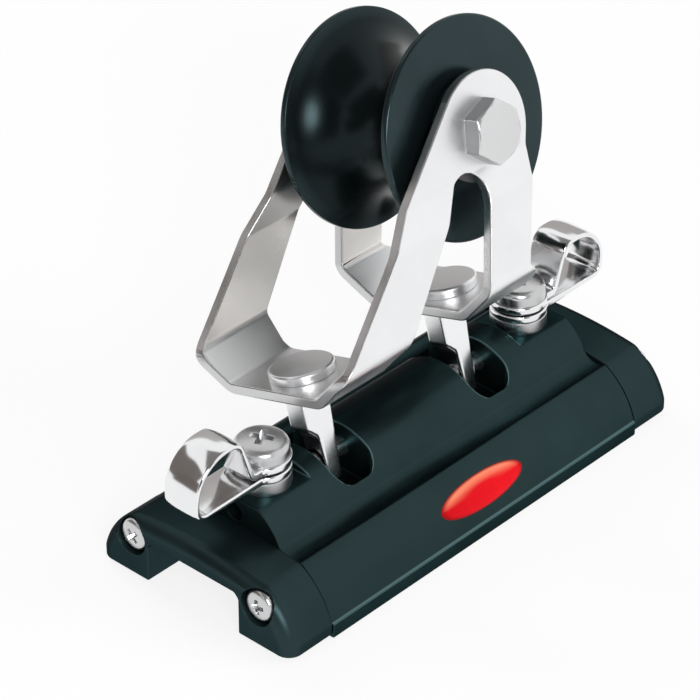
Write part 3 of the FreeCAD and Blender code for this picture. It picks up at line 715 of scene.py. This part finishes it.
class MakeCapScrews(bpy.types.Operator):
    """Four pan head screws that hold the end caps"""
    bl_idname = "genoa_car.cap_screws"
    bl_label = "Cap screws"
    bl_options = {"REGISTER", "UNDO"}

    def execute(self, context):
        nodes = [f"{end}_{hand}_cap_screw" for end, _ in ENDS for hand in ("near", "far")]
        low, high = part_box(nodes[0])
        screw = recessed_screw("cap screw", (high.z - low.z) / 2, CAP_HEAD, CAP_SHANK,
                               high.x - low.x - CAP_HEAD,
                               context.scene.genoa_metal.recess_small, CAP_RECESS)
        spots = []
        for end, side in ENDS:
            for hand, turn in (("near", 0.5), ("far", 1.1)):
                node = f"{end}_{hand}_cap_screw"
                place = middle(node)
                low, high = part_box(node)
                place.x = (low.x + CAP_HEAD) if side < 0 else (high.x - CAP_HEAD)
                spots.append((place, (side, 0, 0), turn + side * 0.35))
        piece = placed("cap_screws", screw, spots, finish("fastener"))
        fit(piece, "car", nodes)
        return {"FINISHED"}


class MakeClipScrews(bpy.types.Operator):
    """Two large pan head screws that clamp the control eyes"""
    bl_idname = "genoa_car.clip_screws"
    bl_label = "Clip screws"
    bl_options = {"REGISTER", "UNDO"}

    def execute(self, context):
        nodes = [f"{end}_clip_screw" for end, _ in ENDS]
        low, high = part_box(nodes[0])
        screw = recessed_screw("clip screw", (high.x - low.x) / 2, CLIP_HEAD, CLIP_SHANK,
                               high.z - low.z - CLIP_HEAD,
                               context.scene.genoa_metal.recess, CLIP_RECESS)
        spots = []
        for node, turn in zip(nodes, (0.45, 1.0)):
            place = middle(node)
            place.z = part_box(node)[1].z - CLIP_HEAD
            spots.append((place, (0, 0, 1), turn))
        piece = placed("eye_clip_screws", screw, spots, finish("fastener"))
        fit(piece, "car", nodes)
        return {"FINISHED"}


# The strip's doming starts this far beyond the clip screw, and is whole a little further on
CROWN_START, CROWN_EASE = 7.0 * MM, 2.0 * MM
# No part of the eye but the loop is this far from the car's middle
LOOP_FROM = 60 * MM
SLICES = 8


def crown_strip(eye, end, depth):
    """Thins the strip towards its edges round the loop, domed across as a pressed strip is."""
    solid = merged(f"{end}_control_eye")
    skin = BVHTree.FromBMesh(solid)
    half = max(v.co.y for v in solid.verts if abs(v.co.x) > LOOP_FROM)
    solid.free()
    clip = abs(middle(f"{end}_clip_screw").x)
    form = bmesh.new()
    form.from_mesh(eye.data)
    for step in range(1 - SLICES, SLICES):
        bmesh.ops.bisect_plane(form, geom=form.verts[:] + form.edges[:] + form.faces[:],
                               dist=1e-6, plane_co=(0, step * half / SLICES, 0),
                               plane_no=(0, 1, 0))
    for vert in form.verts:
        beyond = min(max((abs(vert.co.x) - clip - CROWN_START) / CROWN_EASE, 0.0), 1.0)
        _, out, _, _ = skin.find_nearest(Vector((vert.co.x, 0, vert.co.z)))
        off_middle = min(abs(vert.co.y) / half, 1.0)
        vert.co -= Vector((out.x, 0, out.z)) * depth * off_middle ** 3 * beyond
    materials = list(eye.data.materials)
    old, eye.data = eye.data, into_mesh(form, eye.name)
    bpy.data.meshes.remove(old)
    for material in materials:
        eye.data.materials.append(material)
    eye.modifiers.clear()
    shade(eye, 40.0)


class MakeEyes(bpy.types.Operator):
    """Control line eyes, each one folded strip, with the spacer washers under them"""
    bl_idname = "genoa_car.eyes"
    bl_label = "Control eyes"
    bl_options = {"REGISTER", "UNDO"}

    def execute(self, context):
        metal = context.scene.genoa_metal
        for end, _ in ENDS:
            eye = dressed(f"{end}_folded_eye", f"{end}_control_eye", "car",
                          finish("bright"), metal.strip_edge, 30.0, 4)
            crown_strip(eye, end, metal.strip_crown)
            dressed(f"{end}_washer", f"{end}_eye_spacer", "car",
                    finish("fastener"), WASHER_EDGE, 30.0)
        return {"FINISHED"}


class MakePivot(bpy.types.Operator):
    """Pivot rod, and the lugs and rivets that hang the cage on it"""
    bl_idname = "genoa_car.pivot"
    bl_label = "Pivot"
    bl_options = {"REGISTER", "UNDO"}

    def execute(self, context):
        coat("pivot_rod", "plain")
        for end, _ in ENDS:
            dressed(f"{end}_swing_lug", f"{end}_lug", "cage",
                    finish("satin"), LUG_EDGE, 30.0, 4)
            dressed(f"{end}_rivet_head", f"{end}_rivet", "cage",
                    finish("sheet"), RIVET_EDGE, 35.0, 3)
        return {"FINISHED"}


# A face with more steel behind it than this, which is over the sheet's thickness, is a cut edge
THROUGH = 3.1 * MM
# Any face above this area is a face of the sheet, also where its middle is a hole
SHEET_AREA = 100 * MM * MM
# How squarely a plate's face looks at the sheave, as a cosine, to be an inner face
INNER_FACING = 0.9


class MakeCage(bpy.types.Operator):
    """Folded sheet cage that carries the sheave"""
    bl_idname = "genoa_car.cage"
    bl_label = "Sheave cage"
    bl_options = {"REGISTER", "UNDO"}

    def execute(self, context):
        cage = dressed("folded_cage", "sheave_cage", "cage", finish("sheet"),
                       context.scene.genoa_metal.sheet_edge, 40.0, 3)
        skin = skin_of("sheave_cage")
        start = 0.3 * MM

        def choose(face):
            if face.area < SHEET_AREA:
                depth = skin.ray_cast(face.center - face.normal * start, -face.normal)[3]
                if depth is None or depth + start > THROUGH:
                    return 1
            side = (face.center - AXLE).dot(AXLE_WAY)
            return 2 if side * face.normal.dot(AXLE_WAY) < -INNER_FACING * abs(side) else 0

        # Sheared edges get a darker steel finish, and the plates' inner faces painted shade: a
        # darker, warmer tone
        refinish(cage, ("cut", "inner"), choose)
        return {"FINISHED"}


class MakeSheave(bpy.types.Operator):
    """Sheave with its bush, sleeve and thrust washers"""
    bl_idname = "genoa_car.sheave"
    bl_label = "Sheave"
    bl_options = {"REGISTER", "UNDO"}

    def execute(self, context):
        dressed("turned_sheave", "sheave", "sheave", finish("sheave"),
                context.scene.genoa_sheave.rim, 30.0, 3)
        coat("axle_sleeve", "plain")
        for node in ("sheave_bush", "near_thrust_washer", "far_thrust_washer"):
            coat(node, "bush")
        return {"FINISHED"}


# The nut's plastic ring, as radius and height over the nut's outer face, in millimetres
INSERT_PROFILE = ((4.02, -0.6), (4.9, -0.6), (4.9, 0.1), (4.75, 0.25), (4.2, 0.25), (4.02, 0.1),
                  (4.02, -0.6))
# The radius of the thread's crests, its depth, and the length of the bolt's chamfered end
CREST, TOOTH_DEPTH, CHAMFER = 4.03 * MM, 0.42 * MM, 0.5 * MM


def cut_thread(pitch, low, high):
    """The bolt's end past the nut, its thread of one start cut in a form that is turned."""
    form = bmesh.new()
    steps, rows = 48, 30
    rings = []
    for row in range(rows + 1):
        z = low + (high - low + 0.02 * MM) * row / rows
        end = max(0.0, z - high + CHAMFER) * 0.8
        teeth = (abs(((z / pitch - step / steps) % 1.0) * 2 - 1) for step in range(steps))
        rings.append(ring_round(form, [CREST - TOOTH_DEPTH * tooth - end for tooth in teeth], z))
    stitch(form, rings)
    form.faces.new(rings[0][::-1])
    form.faces.new(rings[-1])
    piece = new_piece("bolt_thread", into_mesh(form, "bolt_thread"))
    piece.data.transform(ON_AXLE)
    piece.data.materials.append(finish("bright"))
    shade(piece, 50.0)
    fit(piece, "cage")


class MakeAxle(bpy.types.Operator):
    """Axle bolt and its self locking nut"""
    bl_idname = "genoa_car.axle"
    bl_label = "Axle bolt and nut"
    bl_options = {"REGISTER", "UNDO"}

    def execute(self, context):
        ends = {}
        for name, node in (("hex_axle_bolt", "axle_bolt"), ("locking_nut", "axle_nut")):
            piece = dressed(name, node, "cage", finish("faced"),
                            HEXAGON_EDGE, 12.0)
            # The hexagons' sides get painted shade, a much darker copy of the faced steel
            refinish(piece, ("hexagon_painted_shade",),
                     lambda face: int(abs(face.normal.dot(AXLE_WAY)) < 0.2))
            ends[node] = max((v.co - AXLE).dot(AXLE_WAY) for v in NODES[node].data.vertices)
        cut_thread(context.scene.genoa_metal.pitch, ends["axle_nut"] - 1.0 * MM,
                   ends["axle_bolt"])
        insert = new_piece("nut_insert", turned(
            "nut_insert", [(radius * MM, height * MM) for radius, height in INSERT_PROFILE]))
        insert.data.transform(ON_AXLE @ Matrix.Translation((0, 0, ends["axle_nut"])))
        insert.data.materials.append(finish("bush"))
        shade(insert, 35.0)
        fit(insert, "cage")
        return {"FINISHED"}


class MakeBalls(bpy.types.Operator):
    """Recirculating ball circuits under the body"""
    bl_idname = "genoa_car.balls"
    bl_label = "Ball circuits"
    bl_options = {"REGISTER", "UNDO"}

    def execute(self, context):
        for hand in ("near", "far"):
            coat(f"{hand}_ball_circuit", "balls")
        return {"FINISHED"}


# The near shoulder's slope, which the badge lies on: a point of it, the way up it and out of it
BADGE_ORIGIN = Vector((0, -27.0 * MM, 10.9 * MM))
BADGE_UP = Vector((0, 0.62, 0.785))
BADGE_AWAY = Vector((0, -0.785, 0.62))


class MakeBadge(bpy.types.Operator):
    """Plain oval badge, domed, on the near shoulder"""
    bl_idname = "genoa_car.badge"
    bl_label = "Badge"
    bl_options = {"REGISTER", "UNDO"}

    def execute(self, context):
        car = context.scene.genoa_finish
        skin = skin_of("car_body")
        form = bmesh.new()
        count, steps = 10, 72
        rings = []
        for ring in range(1, count + 1):
            reach = ring / count
            rise = car.badge_thick * math.sqrt(1.0 - reach ** 2) + 0.01 * MM
            rings.append([])
            for step in range(steps):
                turn = math.tau * step / steps
                across = reach * car.badge_long / 2 * math.cos(turn)
                up = reach * car.badge_high / 2 * math.sin(turn)
                # The shoulder's slope carries the oval: drawn on a plane along it and dropped on
                start = BADGE_ORIGIN + Vector((car.badge_middle + across, 0, 0)) + BADGE_UP * up
                spot, normal, _, _ = skin.ray_cast(start + BADGE_AWAY * 20 * MM, -BADGE_AWAY)
                rings[-1].append(form.verts.new(spot + normal * rise))
        stitch(form, rings[::-1])
        form.faces.new(rings[0])
        form.faces.new(rings[-1][::-1])
        bmesh.ops.recalc_face_normals(form, faces=form.faces)
        piece = new_piece("oval_badge", into_mesh(form, "oval_badge"))
        piece.data.materials.append(enamel_finish(
            tuple(car.badge_colour),
            (Vector((2 / car.badge_long, 0, 0)), car.badge_middle * 2 / car.badge_long),
            (BADGE_UP * 2 / car.badge_high, BADGE_ORIGIN.dot(BADGE_UP) * 2 / car.badge_high)))
        shade(piece, 50.0)
        fit(piece, "car")
        return {"FINISHED"}


# The share of the floor's own shade in what the camera sees, which keeps the object's shadow
FLOOR_SHADE = 0.16
# What the lamps point at
LIT_POINT = Vector((0, 0, 0.04))


def background_rays(tree):
    """The camera's rays, and all that show the background: straight, mirrored or through glass."""
    path = add_node(tree, "ShaderNodeLightPath").outputs
    seen = path["Is Camera Ray"]
    for kind in ("Is Glossy Ray", "Is Transmission Ray"):
        seen = add_node(tree, "ShaderNodeMath", {0: seen, 1: path[kind]},
                        operation="MAXIMUM").outputs[0]
    return path["Is Camera Ray"], seen


def lay_floor(tone):
    """A pale floor, seen white in the background, that keeps the object's shadow."""
    form = bmesh.new()
    bmesh.ops.create_grid(form, x_segments=2, y_segments=2, size=3.0)
    bmesh.ops.translate(form, verts=form.verts, vec=(0, 0, -0.2 * MM))
    piece = new_piece("floor", into_mesh(form, "floor"))
    s = Shader("pale floor", {"Base Color": tone, "Roughness": 0.9})
    s.tint(s.noise(4.0, 2.0), scaled(tone, 0.99), tone)
    camera, seen = background_rays(s.tree)
    white = s.calculate("SUBTRACT", seen, s.calculate("MULTIPLY", camera, FLOOR_SHADE))
    s.surface(s.add("ShaderNodeMixShader", {
        0: white, 1: s.shader.outputs["BSDF"], 2: s.glow((1, 1, 1))}).outputs[0])
    piece.data.materials.append(s.material)


def hang_lamps(scene):
    """Three soft round lamps, each with its place, diameter and power in watts."""
    for name, place, size, power in (
        ("key", (-0.50, -0.70, 0.50), 0.36, 4.6),
        ("fill", (0.45, -0.62, 0.55), 0.5, 3.0),
        ("back", (0.1, 0.75, 0.60), 0.45, 3.0),
    ):
        lamp = bpy.data.lights.new(name, "AREA")
        lamp.shape = "DISK"
        lamp.size = size
        lamp.energy = power
        holder = bpy.data.objects.new(name, lamp)
        holder.location = place
        holder.rotation_mode = "QUATERNION"
        holder.rotation_quaternion = (Vector(place) - LIT_POINT).to_track_quat("Z", "Y")
        # Only the key shows as a highlight in what is polished
        holder.visible_glossy = name == "key"
        scene.collection.objects.link(holder)


def stand_cards():
    """Grey cards out of the picture, seen only in what is polished.

    Each has its colour, the way it stands in, how far off, its width and its height.
    """
    for name, tone, way, away, wide, high in (
        ("card_behind_camera", (0.04, 0.043, 0.046), (-0.60, -0.62, 0.50), 1.5, 2.3, 1.5),
        ("card_overhead", (0.20, 0.195, 0.19), (-0.10, -0.05, 1.0), 1.5, 1.6, 1.6),
        ("card_opposite", (0.42, 0.40, 0.39), (0.62, 0.66, 0.33), 1.7, 1.9, 1.2),
        ("card_left", (0.17, 0.15, 0.14), (-0.55, 0.72, 0.43), 1.6, 1.9, 1.25),
        ("card_low_left", (0.15, 0.13, 0.12), (-0.88, 0.38, 0.13), 1.6, 1.1, 0.8),
    ):
        mesh = bpy.data.meshes.new(name)
        mesh.from_pydata([(x * wide / 2, y * high / 2, 0) for x, y in SQUARE], [], [(0, 1, 2, 3)])
        way = Vector(way).normalized()
        mesh.transform(Matrix.Translation(way * away)
                       @ way.to_track_quat("Z", "Y").to_matrix().to_4x4())
        s = Shader(name)
        s.surface(s.glow(tone))
        mesh.materials.append(s.material)
        card = new_piece(name, mesh)
        card.visible_camera = card.visible_diffuse = card.visible_shadow = False


def light_world(scene):
    """A soft white world, which the camera and what is polished see as plain white."""
    world = bpy.data.worlds.new("studio")
    world.use_nodes = True
    tree = world.node_tree
    tree.nodes.clear()
    soft, white = (add_node(tree, "ShaderNodeBackground", {
        "Color": (1, 1, 1, 1), "Strength": strength}).outputs[0] for strength in (0.55, 1.0))
    mix = add_node(tree, "ShaderNodeMixShader", {0: background_rays(tree)[1], 1: soft, 2: white})
    add_node(tree, "ShaderNodeOutputWorld", {"Surface": mix.outputs[0]})
    scene.world = world


def stand_camera(scene, studio):
    """The camera, at the photograph's angle and distance."""
    around, above = studio.azimuth, studio.elevation
    back = Vector((math.sin(around) * math.cos(above), -math.cos(around) * math.cos(above),
                   math.sin(above)))
    data = bpy.data.cameras.new("camera")
    data.sensor_width = 36.0
    data.lens = studio.lens
    data.clip_start, data.clip_end = 0.01, 20.0
    camera = bpy.data.objects.new("camera", data)
    camera.location = Vector(studio.target) + back * studio.distance
    camera.rotation_mode = "QUATERNION"
    camera.rotation_quaternion = back.to_track_quat("Z", "Y")
    scene.collection.objects.link(camera)
    scene.camera = camera


class MakeStudio(bpy.types.Operator):
    """Floor, lamps, grey cards, backdrop light and camera"""
    bl_idname = "genoa_car.studio"
    bl_label = "Studio"
    bl_options = {"REGISTER", "UNDO"}

    def execute(self, context):
        scene = context.scene
        scene.view_settings.view_transform = "Standard"
        lay_floor(tuple(scene.genoa_studio.floor))
        hang_lamps(scene)
        stand_cards()
        light_world(scene)
        stand_camera(scene, scene.genoa_studio)
        return {"FINISHED"}


MAKERS = (MakeBody, MakeCaps, MakeBalls, MakeCapScrews, MakeEyes, MakeClipScrews, MakePivot,
          MakeCage, MakeSheave, MakeAxle, MakeBadge, MakeStudio)


class GenoaPanel(bpy.types.Panel):
    """Lists the makers and the values they read"""
    bl_idname = "VIEW3D_PT_genoa_car"
    bl_label = "Genoa car"
    bl_space_type = "VIEW_3D"
    bl_region_type = "UI"
    bl_category = "Genoa car"

    def draw(self, context):
        for group, kind in GROUPS.items():
            box = self.layout.box()
            for value in kind.__annotations__:
                box.prop(getattr(context.scene, group), value)
        for maker in MAKERS:
            self.layout.operator(maker.bl_idname)


def register():
    for group, kind in GROUPS.items():
        bpy.utils.register_class(kind)
        setattr(bpy.types.Scene, group, bpy.props.PointerProperty(type=kind))
    for kind in (*MAKERS, GenoaPanel):
        bpy.utils.register_class(kind)


def unregister():
    for kind in (GenoaPanel, *reversed(MAKERS)):
        bpy.utils.unregister_class(kind)
    for group, kind in GROUPS.items():
        delattr(bpy.types.Scene, group)
        bpy.utils.unregister_class(kind)


def main():
    register()
    for maker in MAKERS:
        family, name = maker.bl_idname.split(".")
        if getattr(getattr(bpy.ops, family), name)() != {"FINISHED"}:
            raise RuntimeError(f"{maker.bl_label} was not made")


if __name__ == "__main__":
    main()
